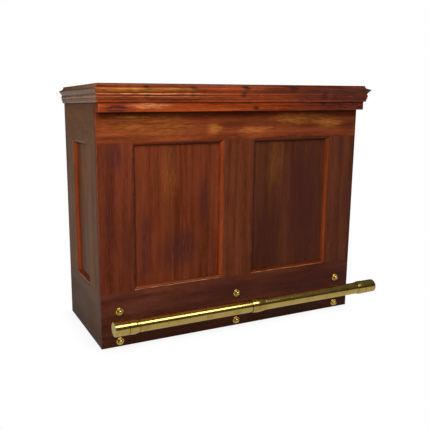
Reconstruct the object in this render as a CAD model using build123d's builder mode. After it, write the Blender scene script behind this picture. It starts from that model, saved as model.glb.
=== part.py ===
from build123d import *
import os
from math import hypot

# Panelled home bar counter with a brass foot rail. Millimetres, +Z up.
# The customer stands in front (-Y) and the barkeeper behind (+Y).
# The origin is on the floor, under the middle of the overall box.

# Carcass
BAR_WIDTH = 1270.0
BAR_DEPTH = 485.0
BAR_HEIGHT = 1067.0
FRAME_T = 22.0  # thickness of every rail and stile
ARRIS_R = 2.0  # rounding of the two front corners
FRONT_STILE_W = 147.0
BOTTOM_RAIL_H = 234.0
TOP_RAIL_SHOWN_H = 119.0  # from the panel openings up to the frieze
SIDE_FRONT_STILE_W = 125.0
SIDE_REAR_STILE_W = 130.0
PANEL_T = 4.0
PANEL_LAP = 10.0  # how far a panel runs into the rebate behind its frame
PANEL_GAP = 0.5
BEAD_W = 13.0  # planted moulding round each panel
BEAD_H = 16.0
BEAD_QUIRK = 2.0

# Top
TOP_T = 22.0
FRIEZE_T = 42.0  # how far the frieze stands out from the front
FRIEZE_SHOWN_H = 36.0
CROWN_H = 71.0

# Inside, on the barkeeper's side
BATTEN = 44.0
CLEAT = 20.0
SHELF_T = 18.0
FLOOR_BOARD_Z = 100.0
SHELF_Z = 470.0
REAR_RAIL_H = 80.0
REAR_SETBACK = 13.0  # rear rail in from the ends of the sides
SHELF_SETBACK = 25.0
NOTCH_GAP = 1.0

# Foot rail
RAIL_OUT = 165.0  # rail axis in front of the front frame
RAIL_Z = 150.0
RAIL_D = 50.8
RAIL_WALL = 1.6
RAIL_FIT = 0.1
CAP_WALL = 3.0
CAP_L = 64.0
CAP_END_T = 4.0
CAP_EDGE_R = 1.5
RING_WALL = 4.0
RING_LIP_WALL = 1.5
END_RING_L = 30.0
MIDDLE_RING_L = 60.0
RING_FLAT_L = 16.0
ARM_D = 16.0
ARM_FOOT_Z = 78.0
FOOT_D = 44.0
FOOT_T = 6.0

# Bracket fixings
BOSS_LOW_Z = 24.0
BOSS_HIGH_Z = 153.0
ROSE_D = 34.0
ROSE_T = 6.0
ROSE_EDGE_R = 3.0
DOME_NUT_D = 22.0
DOME_NUT_H = 15.0
STUD_D = 8.0
STUD_PLAY = 1.0  # a stud's hole in the wood and in the strap is this much wider
STUD_GRIP = 10.0  # thread taken up by a domed nut or an arm
STUD_TAIL = 3.0
NUT_T = 6.5
NUT_ACROSS = 13.0
STRAP_W = 24.0
STRAP_T = 5.0
STRAP_MARGIN = 16.0
GRUB_D = 5.0
GRUB_SUNK = 0.5

# Wood screws
SCREW_D = 4.5
SCREW_HEAD_D = 9.0
SCREW_HEAD_H = 3.0
TOP_SCREW_BITE = 12.0
SHELF_SCREW_BITE = 15.0

# Sizes and places worked out from those above
BORE_R = RAIL_D / 2 + RAIL_FIT
CAP_D = 2 * (BORE_R + CAP_WALL)
RING_D = 2 * (BORE_R + RING_WALL)
RING_LIP_D = 2 * (BORE_R + RING_LIP_WALL)
STUD_HOLE_D = STUD_D + STUD_PLAY
OVERALL_DEPTH = BAR_DEPTH + RAIL_OUT + RING_D / 2
FRONT_Y = -OVERALL_DEPTH / 2 + RAIL_OUT + RING_D / 2
BACK_Y = FRONT_Y + BAR_DEPTH
SIDE_X = BAR_WIDTH / 2
INNER_X = SIDE_X - FRAME_T
INNER_Y = FRONT_Y + FRAME_T
TOP_UNDER_Z = BAR_HEIGHT - TOP_T
FRIEZE_Y = FRONT_Y - FRIEZE_T
CROWN_Z = BAR_HEIGHT - CROWN_H
FRIEZE_Z = CROWN_Z - FRIEZE_SHOWN_H
OPENING = (BOTTOM_RAIL_H, FRIEZE_Z - TOP_RAIL_SHOWN_H)
OPENING_H = OPENING[1] - OPENING[0]
REAR_RAIL_Y = BACK_Y - REAR_SETBACK - FRAME_T
RAIL_Y = FRONT_Y - RAIL_OUT
RAIL_AXIS = Axis((0, RAIL_Y, RAIL_Z), (1, 0, 0))
BRACKET_X = SIDE_X - CAP_L - END_RING_L / 2
BRACKET_XS = (-BRACKET_X, 0, BRACKET_X)
PANEL_FACE = FRAME_T - PANEL_T  # depth of a panel behind the face of its frame

os.makedirs("parts", exist_ok=True)


def save(piece, name):
    """Label a finished piece and write its STEP file."""
    piece.part.label = name
    export_step(piece.part, f"parts/{name}.step")


def block(x, y, z, mode=Mode.ADD):
    """A box between two limits on each axis, in the part being built."""
    with Locations((sum(x) / 2, sum(y) / 2, sum(z) / 2)):
        Box(abs(x[1] - x[0]), abs(y[1] - y[0]), abs(z[1] - z[0]), mode=mode)


def grown(span, by):
    """A span with both ends moved outwards."""
    return (min(span) - by, max(span) + by)


def both_sides(*xs):
    """Each x and its mirror place."""
    return [side * x for side in (-1, 1) for x in xs]


# ---------------------------------------------------------------- front frame

FRONT_SPAN = (FRONT_Y, INNER_Y)
PANEL_SPAN_Y = (INNER_Y - PANEL_T, INNER_Y)
HALF_STILE = FRONT_STILE_W / 2
FRONT_OPENINGS = {
    "left": (-SIDE_X + FRONT_STILE_W, -HALF_STILE),
    "right": (HALF_STILE, SIDE_X - FRONT_STILE_W),
}


def front_rebates():
    """Cut the rebates that take the two front panels."""
    for opening in FRONT_OPENINGS.values():
        lap = PANEL_LAP + PANEL_GAP
        block(grown(opening, lap), PANEL_SPAN_Y, grown(OPENING, lap), Mode.SUBTRACT)


def round_front_corners(piece):
    """Round the upright corners of the carcass that a piece of the front frame holds."""
    uprights = piece.edges().filter_by(Axis.Z)
    fillet([e for e in uprights if e.center().Y < FRONT_Y + 1 and abs(e.center().X) > SIDE_X - 1], ARRIS_R)


with BuildPart() as front_bottom_rail:
    block((-SIDE_X, SIDE_X), FRONT_SPAN, (0, BOTTOM_RAIL_H))
    front_rebates()
    round_front_corners(front_bottom_rail)
    with Locations(Plane.XZ.offset(-FRONT_Y)):
        with Locations([(x, z) for x in BRACKET_XS for z in (BOSS_LOW_Z, ARM_FOOT_Z, BOSS_HIGH_Z)]):
            Hole(STUD_HOLE_D / 2, depth=FRAME_T)
save(front_bottom_rail, "front_bottom_rail")

with BuildPart() as front_top_rail:
    block((-SIDE_X, SIDE_X), FRONT_SPAN, (OPENING[1], TOP_UNDER_Z))
    front_rebates()
    round_front_corners(front_top_rail)
save(front_top_rail, "front_top_rail")

with BuildPart() as front_left_stile:
    block((-SIDE_X, FRONT_OPENINGS["left"][0]), FRONT_SPAN, OPENING)
    front_rebates()
    round_front_corners(front_left_stile)
save(front_left_stile, "front_left_stile")

with BuildPart() as front_centre_stile:
    block((-HALF_STILE, HALF_STILE), FRONT_SPAN, OPENING)
    front_rebates()
save(front_centre_stile, "front_centre_stile")

with BuildPart() as front_right_stile:
    block((FRONT_OPENINGS["right"][1], SIDE_X), FRONT_SPAN, OPENING)
    front_rebates()
    round_front_corners(front_right_stile)
save(front_right_stile, "front_right_stile")

for side, opening in FRONT_OPENINGS.items():
    with BuildPart() as front_panel:
        block(grown(opening, PANEL_LAP), PANEL_SPAN_Y, grown(OPENING, PANEL_LAP))
    save(front_panel, f"front_{side}_panel")

# ---------------------------------------------------------------- side frames

SIDE_OPENING = (INNER_Y + SIDE_FRONT_STILE_W, BACK_Y - SIDE_REAR_STILE_W)
SIDE_MEMBERS = {
    "bottom_rail": ((INNER_Y, BACK_Y), (0, BOTTOM_RAIL_H)),
    "top_rail": ((INNER_Y, BACK_Y), (OPENING[1], TOP_UNDER_Z)),
    "front_stile": ((INNER_Y, SIDE_OPENING[0]), OPENING),
    "rear_stile": ((SIDE_OPENING[1], BACK_Y), OPENING),
}

for side, sign in (("left", -1), ("right", 1)):
    frame_x = (sign * INNER_X, sign * SIDE_X)
    panel_x = (sign * INNER_X, sign * (INNER_X + PANEL_T))
    for name, (span_y, span_z) in SIDE_MEMBERS.items():
        with BuildPart() as member:
            lap = PANEL_LAP + PANEL_GAP
            block(frame_x, span_y, span_z)
            block(panel_x, grown(SIDE_OPENING, lap), grown(OPENING, lap), Mode.SUBTRACT)
        save(member, f"{side}_{name}")
    with BuildPart() as side_panel:
        block(panel_x, grown(SIDE_OPENING, PANEL_LAP), grown(OPENING, PANEL_LAP))
    save(side_panel, f"{side}_panel")

# ------------------------------------------------------------------ mouldings


def bead_outline():
    """Section of the panel moulding: a quirk, then a quarter round down to the panel."""
    with BuildLine() as outline:
        shoulder = (BEAD_QUIRK, BEAD_H)
        toe = (BEAD_W, BEAD_QUIRK)
        Polyline((0, BEAD_H), (0, 0), (BEAD_W, 0), toe)
        Line((0, BEAD_H), shoulder)
        EllipticalCenterArc(
            (shoulder[0], toe[1]), BEAD_W - BEAD_QUIRK, BEAD_H - BEAD_QUIRK, start_angle=0, arc_size=90
        )
    return outline.line


def crown_outline():
    """Section of the crown: a bead, an ovolo, a swelling throat, a rounded nose and a cove to the top."""
    with BuildLine() as outline:
        Polyline((1.5, CROWN_H), (0, CROWN_H), (0, 0), (7, 0), (8, 3), (8.5, 11))
        ThreePointArc((8.5, 11), (11.3, 14), (8.8, 17))
        ThreePointArc((8.8, 17), (11.8, 21.5), (13, 27.5))
        Line((13, 27.5), (10.2, 29.5))
        Spline((10.2, 29.5), (11.8, 37), (18.6, 45.5), tangents=[(0, 1), (1, 0.7)])
        ThreePointArc((18.6, 45.5), (21, 50.5), (17, 55.6))
        ThreePointArc((17, 55.6), (6.5, 61), (1.5, CROWN_H))
    return outline.line


def moulding(section, place, length, start, end):
    """Run a section along the plane's normal. At each end 1 is an inner mitre, -1 an outer mitre, 0 square.

    The section is drawn with its first axis away from the backing edge, and the length is along that edge.
    """
    with BuildPart() as strip:
        with BuildSketch(place):
            add(section)
            make_face()
        extrude(amount=length / 2 + CROWN_H, both=True)
        for way, mitre in ((-1, start), (1, end)):
            corner = place.origin + place.z_dir * (way * length / 2)
            cut = Plane(origin=corner, z_dir=place.z_dir * way + place.x_dir * mitre)
            split(bisect_by=cut, keep=Keep.BOTTOM)
    return strip


def bead_edges(centre, across, out, half_w, half_h):
    """Back edge of each of the four mouldings of one opening: name, plane at its middle, and length."""
    edges = {}
    for name, inward, reach, length in (
        ("upright", across, half_w, 2 * half_h),
        ("upright", -across, half_w, 2 * half_h),
        ("level", Vector(0, 0, 1), half_h, 2 * half_w),
        ("level", Vector(0, 0, -1), half_h, 2 * half_w),
    ):
        place = Plane(origin=centre - inward * reach, x_dir=inward, z_dir=inward.cross(out))
        edges.setdefault(name, []).append((place, length))
    return edges


PANEL_MIDDLE_Z = sum(OPENING) / 2
BEADED_OPENINGS = {}
for side, opening in FRONT_OPENINGS.items():
    BEADED_OPENINGS[f"front_{side}"] = bead_edges(
        centre=Vector(sum(opening) / 2, FRONT_Y + PANEL_FACE, PANEL_MIDDLE_Z),
        across=Vector(1, 0, 0),
        out=Vector(0, -1, 0),
        half_w=(opening[1] - opening[0]) / 2,
        half_h=OPENING_H / 2,
    )
for side, sign in (("left", -1), ("right", 1)):
    BEADED_OPENINGS[side] = bead_edges(
        centre=Vector(sign * (SIDE_X - PANEL_FACE), sum(SIDE_OPENING) / 2, PANEL_MIDDLE_Z),
        across=Vector(0, 1, 0),
        out=Vector(sign, 0, 0),
        half_w=(SIDE_OPENING[1] - SIDE_OPENING[0]) / 2,
        half_h=OPENING_H / 2,
    )

for opening_name, edges in BEADED_OPENINGS.items():
    for edge_name, strips in edges.items():
        with BuildPart() as beads:
            for place, length in strips:
                add(moulding(bead_outline(), place, length, 1, 1).part)
        save(beads, f"{opening_name}_{edge_name}_beads")

with BuildPart() as frieze_board:
    block((-SIDE_X, SIDE_X), (FRIEZE_Y, FRONT_Y), (FRIEZE_Z, TOP_UNDER_Z))
save(frieze_board, "frieze_board")

FRONT_CROWN_PLACE = Plane(origin=(0, FRIEZE_Y, CROWN_Z), x_dir=(0, -1, 0), z_dir=(-1, 0, 0))
save(moulding(crown_outline(), FRONT_CROWN_PLACE, BAR_WIDTH, -1, -1), "crown_front")

SIDE_CROWN_L = BACK_Y - FRIEZE_Y
for side, sign in (("left", -1), ("right", 1)):
    place = Plane(
        origin=(sign * SIDE_X, FRIEZE_Y + SIDE_CROWN_L / 2, CROWN_Z), x_dir=(sign, 0, 0), z_dir=(0, -sign, 0)
    )
    mitres = (0, -1) if sign > 0 else (-1, 0)
    save(moulding(crown_outline(), place, SIDE_CROWN_L, *mitres), f"crown_{side}")

# --------------------------------------------------------------- wood screws

TOP_SCREW_L = BATTEN + TOP_SCREW_BITE
SHELF_SCREW_L = SHELF_T + SHELF_SCREW_BITE
BATTEN_MIDDLE_X = INNER_X - BATTEN / 2
BATTEN_MIDDLE_Y = INNER_Y + BATTEN / 2
CLEAT_SPAN_Y = (INNER_Y + BATTEN, REAR_RAIL_Y - FRAME_T)
CLEAT_SCREW_YS = (CLEAT_SPAN_Y[0] + 2 * CLEAT, CLEAT_SPAN_Y[1] - 2 * CLEAT)
SIDE_CLEAT_X = INNER_X - CLEAT / 2
DIVIDER_CLEAT_X = (SHELF_T + CLEAT) / 2
TOP_SCREW_PLACES = [(x, BATTEN_MIDDLE_Y) for x in both_sides(INNER_X / 4, INNER_X * 3 / 4)]
TOP_SCREW_PLACES += [(x, y) for x in both_sides(BATTEN_MIDDLE_X) for y in CLEAT_SCREW_YS]
SHELF_SCREW_PLACES = [(x, y) for x in both_sides(DIVIDER_CLEAT_X, SIDE_CLEAT_X) for y in CLEAT_SCREW_YS]
FLOOR_SCREW_PLACES = [(x, y) for x in both_sides(SIDE_CLEAT_X) for y in CLEAT_SCREW_YS]


def screws(head_plane, places, length, mode=Mode.ADD):
    """Countersunk screws whose flush heads lie in a plane and whose points go along its reversed normal."""
    with Locations(head_plane):
        with Locations(places):
            down = (Align.CENTER, Align.CENTER, Align.MAX)
            Cone(SCREW_D / 2, SCREW_HEAD_D / 2, SCREW_HEAD_H, align=down, mode=mode)
            Cylinder(SCREW_D / 2, length, align=down, mode=mode)


def top_screws(mode=Mode.ADD):
    """Screws up through the battens into the top; the plane faces down, so its second axis is -Y."""
    plane = Plane(origin=(0, 0, TOP_UNDER_Z - BATTEN), x_dir=(1, 0, 0), z_dir=(0, 0, -1))
    screws(plane, [(x, -y) for x, y in TOP_SCREW_PLACES], TOP_SCREW_L, mode)


def shelf_screws(mode=Mode.ADD):
    """Screws down through the shelves and the floor board into their cleats."""
    screws(Plane.XY.offset(SHELF_Z + SHELF_T), SHELF_SCREW_PLACES, SHELF_SCREW_L, mode)
    screws(Plane.XY.offset(FLOOR_BOARD_Z + SHELF_T), FLOOR_SCREW_PLACES, SHELF_SCREW_L, mode)


with BuildPart() as batten_screws:
    top_screws()
save(batten_screws, "batten_screws")

with BuildPart() as cleat_screws:
    shelf_screws()
save(cleat_screws, "cleat_screws")

# ------------------------------------------------------- top, battens, inside

with BuildPart() as top_board:
    block((-SIDE_X, SIDE_X), (FRIEZE_Y, BACK_Y), (TOP_UNDER_Z, BAR_HEIGHT))
    top_screws(Mode.SUBTRACT)
save(top_board, "top_board")

CORNER_SPAN_Y = (INNER_Y, INNER_Y + BATTEN)
BATTEN_SPAN_Z = (TOP_UNDER_Z - BATTEN, TOP_UNDER_Z)
FLOOR_BOARD_SPAN_Z = (FLOOR_BOARD_Z, FLOOR_BOARD_Z + SHELF_T)
SHELF_SPAN_Z = (SHELF_Z, SHELF_Z + SHELF_T)

STRAP_SPAN_Z = (BOSS_LOW_Z - STRAP_MARGIN, BOSS_HIGH_Z + STRAP_MARGIN)


def strap_notches():
    """Cut room for the steel straps of the brackets, with their nuts and stud ends."""
    for x in BRACKET_XS:
        notch_x = grown((x - STRAP_W / 2, x + STRAP_W / 2), NOTCH_GAP)
        notch_y = (INNER_Y, INNER_Y + STRAP_T + NUT_T + STUD_TAIL + NOTCH_GAP)
        block(notch_x, notch_y, grown(STRAP_SPAN_Z, NOTCH_GAP), Mode.SUBTRACT)


with BuildPart() as corner_battens:
    for sign in (-1, 1):
        block((sign * (INNER_X - BATTEN), sign * INNER_X), CORNER_SPAN_Y, (0, TOP_UNDER_Z))
    strap_notches()
save(corner_battens, "corner_battens")

with BuildPart() as front_top_battens:
    for sign in (-1, 1):
        block((sign * SHELF_T / 2, sign * (INNER_X - BATTEN)), CORNER_SPAN_Y, BATTEN_SPAN_Z)
    top_screws(Mode.SUBTRACT)
save(front_top_battens, "front_top_battens")

with BuildPart() as side_top_battens:
    for sign in (-1, 1):
        block((sign * (INNER_X - BATTEN), sign * INNER_X), (CORNER_SPAN_Y[1], REAR_RAIL_Y), BATTEN_SPAN_Z)
    top_screws(Mode.SUBTRACT)
save(side_top_battens, "side_top_battens")

with BuildPart() as rear_top_rail:
    block((-INNER_X, INNER_X), (REAR_RAIL_Y, REAR_RAIL_Y + FRAME_T), (TOP_UNDER_Z - REAR_RAIL_H, TOP_UNDER_Z))
save(rear_top_rail, "rear_top_rail")

with BuildPart() as rear_plinth:
    block((-INNER_X, INNER_X), (REAR_RAIL_Y - FRAME_T, REAR_RAIL_Y), (0, FLOOR_BOARD_Z))
save(rear_plinth, "rear_plinth")

with BuildPart() as centre_bearer:
    block((-SHELF_T / 2, SHELF_T / 2), (INNER_Y + BATTEN, REAR_RAIL_Y - FRAME_T), (0, FLOOR_BOARD_Z))
save(centre_bearer, "centre_bearer")

with BuildPart() as centre_divider:
    block((-SHELF_T / 2, SHELF_T / 2), (INNER_Y, REAR_RAIL_Y), (FLOOR_BOARD_SPAN_Z[1], TOP_UNDER_Z))
    strap_notches()
save(centre_divider, "centre_divider")

with BuildPart() as floor_board:
    block((-INNER_X, INNER_X), (INNER_Y, REAR_RAIL_Y + FRAME_T), FLOOR_BOARD_SPAN_Z)
    strap_notches()
    for sign in (-1, 1):
        notch_x = (sign * (INNER_X - BATTEN - NOTCH_GAP), sign * INNER_X)
        block(notch_x, (INNER_Y, CORNER_SPAN_Y[1] + NOTCH_GAP), FLOOR_BOARD_SPAN_Z, Mode.SUBTRACT)
    shelf_screws(Mode.SUBTRACT)
save(floor_board, "floor_board")

for side, sign in (("left", -1), ("right", 1)):
    with BuildPart() as shelf:
        block((sign * SHELF_T / 2, sign * INNER_X), (INNER_Y, BACK_Y - SHELF_SETBACK), SHELF_SPAN_Z)
        block((-SHELF_T / 2, SHELF_T / 2), (INNER_Y, REAR_RAIL_Y), SHELF_SPAN_Z, Mode.SUBTRACT)
        notch_x = (sign * (INNER_X - BATTEN - NOTCH_GAP), sign * INNER_X)
        block(notch_x, (INNER_Y, CORNER_SPAN_Y[1] + NOTCH_GAP), SHELF_SPAN_Z, Mode.SUBTRACT)
        shelf_screws(Mode.SUBTRACT)
    save(shelf, f"{side}_shelf")

with BuildPart() as shelf_cleats:
    for x in both_sides(DIVIDER_CLEAT_X, SIDE_CLEAT_X):
        block((x - CLEAT / 2, x + CLEAT / 2), CLEAT_SPAN_Y, (SHELF_Z - CLEAT, SHELF_Z))
    shelf_screws(Mode.SUBTRACT)
save(shelf_cleats, "shelf_cleats")

with BuildPart() as floor_cleats:
    for x in both_sides(SIDE_CLEAT_X):
        block((x - CLEAT / 2, x + CLEAT / 2), CLEAT_SPAN_Y, (FLOOR_BOARD_Z - CLEAT, FLOOR_BOARD_Z))
    shelf_screws(Mode.SUBTRACT)
save(floor_cleats, "floor_cleats")

# ------------------------------------------------------------------ foot rail

RAIL_END_PLANE = Plane(origin=(0, RAIL_Y, RAIL_Z), x_dir=(0, 1, 0), z_dir=(1, 0, 0))

with BuildPart() as foot_rail_tube:
    with BuildSketch(RAIL_END_PLANE):
        Circle(RAIL_D / 2)
        Circle(RAIL_D / 2 - RAIL_WALL, mode=Mode.SUBTRACT)
    extrude(amount=SIDE_X - CAP_END_T, both=True)
save(foot_rail_tube, "foot_rail_tube")

for side, sign in (("left", -1), ("right", 1)):
    with BuildPart() as end_cap:
        with BuildSketch(RAIL_END_PLANE.offset(sign * SIDE_X)):
            Circle(CAP_D / 2)
        extrude(amount=-sign * CAP_L)
        with BuildSketch(RAIL_END_PLANE.offset(sign * (SIDE_X - CAP_END_T))):
            Circle(BORE_R)
        extrude(amount=-sign * (CAP_L - CAP_END_T), mode=Mode.SUBTRACT)
        outer_rim = end_cap.edges().group_by(Axis.X)[-1 if sign > 0 else 0]
        fillet(outer_rim, CAP_EDGE_R)
    save(end_cap, f"{side}_end_cap")


def ring_outline(length, flat_start):
    """Half section of a bracket ring: two thin lips, two tapers and a raised flat between them."""
    lip, body = RING_LIP_D / 2, RING_D / 2
    flat_end = flat_start + RING_FLAT_L
    with BuildLine() as outline:
        Polyline(
            (0, BORE_R), (0, lip), (flat_start, body), (flat_end, body), (length, lip), (length, BORE_R),
            close=True,
        )
    return outline.line


ARM_L = hypot(RAIL_OUT, RAIL_Z - ARM_FOOT_Z)

# Each bracket's place, ring length, start of the raised flat, and the way its section is drawn
BRACKETS = {
    "left": (-BRACKET_X, END_RING_L, 0, 1),
    "middle": (0, MIDDLE_RING_L, (MIDDLE_RING_L - RING_FLAT_L) / 2, 1),
    "right": (BRACKET_X, END_RING_L, 0, -1),
}

for side, (x, ring_l, flat_start, way) in BRACKETS.items():
    with BuildPart() as bracket:
        ring_start = (x - way * ring_l / 2, RAIL_Y, RAIL_Z)
        ring_plane = Plane(origin=ring_start, x_dir=(way, 0, 0), z_dir=(0, -way, 0))
        with BuildSketch(ring_plane):
            add(ring_outline(ring_l, flat_start))
            make_face()
        revolve(axis=RAIL_AXIS)
        arm_way = (0, RAIL_OUT, ARM_FOOT_Z - RAIL_Z)
        arm_plane = Plane(origin=(x, FRONT_Y, ARM_FOOT_Z), x_dir=(1, 0, 0), z_dir=arm_way)
        with BuildSketch(arm_plane):
            Circle(ARM_D / 2)
        extrude(amount=ARM_L, both=True)
        split(bisect_by=Plane.XZ.offset(-FRONT_Y), keep=Keep.TOP)
        with BuildSketch(Plane.XZ.offset(-FRONT_Y)):
            with Locations((x, ARM_FOOT_Z)):
                Circle(FOOT_D / 2)
        extrude(amount=FOOT_T)
        with Locations(Plane(origin=(x, RAIL_Y, RAIL_Z), x_dir=(0, 1, 0), z_dir=(1, 0, 0))):
            Cylinder(BORE_R, ring_l + 2 * ARM_D, mode=Mode.SUBTRACT)
        with Locations(Plane(origin=(x, FRONT_Y, ARM_FOOT_Z), x_dir=(1, 0, 0), z_dir=(0, 1, 0))):
            Hole(STUD_D / 2, depth=STUD_GRIP)
        with Locations(Plane(origin=(x, RAIL_Y, RAIL_Z - RING_D / 2), x_dir=(1, 0, 0), z_dir=(0, 0, -1))):
            Hole(GRUB_D / 2, depth=RING_D / 2 - RAIL_D / 2)
    save(bracket, f"{side}_bracket")

with BuildPart() as grub_screws:
    for x in BRACKET_XS:
        with BuildSketch(Plane.XY.offset(RAIL_Z - RING_D / 2 + GRUB_SUNK)):
            with Locations((x, RAIL_Y)):
                Circle(GRUB_D / 2)
        extrude(amount=RING_D / 2 - RAIL_D / 2 - 2 * GRUB_SUNK)
save(grub_screws, "grub_screws")

# ------------------------------------------------------------ bracket fixings

BOSS_PLACES = [(x, z) for x in BRACKET_XS for z in (BOSS_LOW_Z, BOSS_HIGH_Z)]
FOOT_PLACES = [(x, ARM_FOOT_Z) for x in BRACKET_XS]
STRAP_BACK_Y = INNER_Y + STRAP_T

with BuildPart() as bracket_roses:
    with BuildSketch(Plane.XZ.offset(-FRONT_Y)):
        with Locations(BOSS_PLACES):
            Circle(ROSE_D / 2)
            Circle(STUD_D / 2, mode=Mode.SUBTRACT)
    extrude(amount=ROSE_T)
    rims = bracket_roses.edges().filter_by(GeomType.CIRCLE).group_by(Axis.Y)[0]
    fillet([rim for rim in rims if rim.radius > STUD_D], ROSE_EDGE_R)
save(bracket_roses, "bracket_roses")


def dome_outline():
    """Half section of a domed nut standing on its rose: a short skirt and a rounded crown."""
    skirt = DOME_NUT_H - DOME_NUT_D / 2
    with BuildLine() as outline:
        Polyline((0, 0), (DOME_NUT_D / 2, 0), (DOME_NUT_D / 2, skirt))
        CenterArc((0, skirt), DOME_NUT_D / 2, 0, 90)
        Line((0, DOME_NUT_H), (0, 0))
    return outline.line


with BuildPart() as domed_nuts:
    for x, z in BOSS_PLACES:
        seat = (x, FRONT_Y - ROSE_T, z)
        with BuildSketch(Plane(origin=seat, x_dir=(1, 0, 0), z_dir=(0, 0, -1))):
            add(dome_outline())
            make_face()
        revolve(axis=Axis(seat, (0, -1, 0)))
        with Locations(Plane(origin=seat, x_dir=(1, 0, 0), z_dir=(0, 1, 0))):
            Hole(STUD_D / 2, depth=STUD_GRIP)
save(domed_nuts, "domed_nuts")

with BuildPart() as boss_studs:
    with BuildSketch(Plane.XZ.offset(-(FRONT_Y - ROSE_T - STUD_GRIP))):
        with Locations(BOSS_PLACES):
            Circle(STUD_D / 2)
    extrude(amount=-(STUD_GRIP + ROSE_T + FRAME_T + STRAP_T + NUT_T + STUD_TAIL))
save(boss_studs, "boss_studs")

with BuildPart() as arm_studs:
    with BuildSketch(Plane.XZ.offset(-(FRONT_Y - STUD_GRIP))):
        with Locations(FOOT_PLACES):
            Circle(STUD_D / 2)
    extrude(amount=-(STUD_GRIP + FRAME_T + STRAP_T + NUT_T + STUD_TAIL))
save(arm_studs, "arm_studs")

with BuildPart() as backing_straps:
    for x in BRACKET_XS:
        block((x - STRAP_W / 2, x + STRAP_W / 2), (INNER_Y, STRAP_BACK_Y), STRAP_SPAN_Z)
    with Locations(Plane.XZ.offset(-INNER_Y)):
        with Locations(BOSS_PLACES + FOOT_PLACES):
            Hole(STUD_HOLE_D / 2, depth=STRAP_T)
save(backing_straps, "backing_straps")

with BuildPart() as strap_nuts:
    with BuildSketch(Plane.XZ.offset(-STRAP_BACK_Y)):
        with Locations(BOSS_PLACES + FOOT_PLACES):
            RegularPolygon(NUT_ACROSS / 2, 6, major_radius=False)
            Circle(STUD_D / 2, mode=Mode.SUBTRACT)
    extrude(amount=-NUT_T)
save(strap_nuts, "strap_nuts")
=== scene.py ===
from math import cos, pi, radians, sin

import bmesh
import bpy
from bpy.props import FloatProperty, FloatVectorProperty, IntProperty, PointerProperty
from mathutils import Matrix, Vector


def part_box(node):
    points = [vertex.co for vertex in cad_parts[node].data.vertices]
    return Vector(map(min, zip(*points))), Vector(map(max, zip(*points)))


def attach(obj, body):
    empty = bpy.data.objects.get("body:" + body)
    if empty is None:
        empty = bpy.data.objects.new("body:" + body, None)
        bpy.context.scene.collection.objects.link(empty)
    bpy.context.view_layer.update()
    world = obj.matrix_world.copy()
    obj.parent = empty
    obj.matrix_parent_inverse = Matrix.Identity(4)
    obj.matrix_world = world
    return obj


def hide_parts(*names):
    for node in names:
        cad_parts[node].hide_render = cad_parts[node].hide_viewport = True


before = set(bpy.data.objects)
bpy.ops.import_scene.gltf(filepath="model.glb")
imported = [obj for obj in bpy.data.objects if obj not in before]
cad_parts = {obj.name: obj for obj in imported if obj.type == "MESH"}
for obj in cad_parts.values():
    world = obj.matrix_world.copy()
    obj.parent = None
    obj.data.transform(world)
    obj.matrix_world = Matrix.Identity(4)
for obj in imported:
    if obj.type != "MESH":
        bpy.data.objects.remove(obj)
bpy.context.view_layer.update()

bl_info = {
    "name": "Panelled Home Bar Counter",
    "version": (1, 0, 0),
    "blender": (4, 5, 0),
    "location": "3D View > Sidebar > Bar Counter",
    "description": "Finishes a panelled mahogany bar counter with a brass foot rail",
    "category": "Object",
}

MM = 0.001

# ------------------------------------------------------- places, from the frame

FRONT_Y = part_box("front_bottom_rail")[0].y
SIDE_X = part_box("front_bottom_rail")[1].x
FRIEZE_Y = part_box("frieze_board")[0].y
BACK_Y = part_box("top_board")[1].y
BAR_TOP_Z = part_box("top_board")[1].z
CROWN_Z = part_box("crown_front")[0].z
RAIL_LOW, RAIL_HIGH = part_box("foot_rail_tube")
RAIL_MIDDLE = (RAIL_LOW + RAIL_HIGH) / 2
RAIL_R = (RAIL_HIGH.z - RAIL_LOW.z) / 2

X, Y, Z = Vector((1, 0, 0)), Vector((0, 1, 0)), Vector((0, 0, 1))


def tint(code):
    """A colour written as six hex digits, as the linear values that shaders use."""
    channels = [int(code[i:i + 2], 16) / 255 for i in (0, 2, 4)]
    return [c / 12.92 if c <= 0.04045 else ((c + 0.055) / 1.055) ** 2.4 for c in channels]


def colour_property(name, description, code):
    """A colour that a user may set, given as six hex digits."""
    return FloatVectorProperty(
        name=name, description=description, subtype="COLOR", size=3, min=0, max=1, default=tint(code)
    )


def length_property(name, description, default, least=0.0):
    """A length that a user may set."""
    return FloatProperty(name=name, description=description, unit="LENGTH", default=default, min=least)


def power_property(name, description, default):
    """The power of a light, which a user may set."""
    return FloatProperty(name=name, description=description, unit="POWER", default=default, min=0)


# ------------------------------------------------------------- what a user sets


class BarSizes(bpy.types.PropertyGroup):
    """Sizes of the detail that the looks add to the joinery and the metalwork."""

    arris: length_property("Eased Arris", "Rounding of the boards' edges", 0.8 * MM)
    metal_edge: length_property("Metal Edge", "Rounding of turned metal edges", 0.4 * MM)
    rail_wall: length_property("Rail Wall", "Wall of the foot rail tube", 1.6 * MM, 0.1 * MM)
    turned_steps: IntProperty(name="Turned Steps", description="Faces round the rail", default=96, min=12)
    fixing_steps: IntProperty(name="Fixing Steps", description="Faces round a fixing", default=48, min=12)
    seed: IntProperty(name="Seed", description="Chooses the turn of each screw's slot", default=7)


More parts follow.
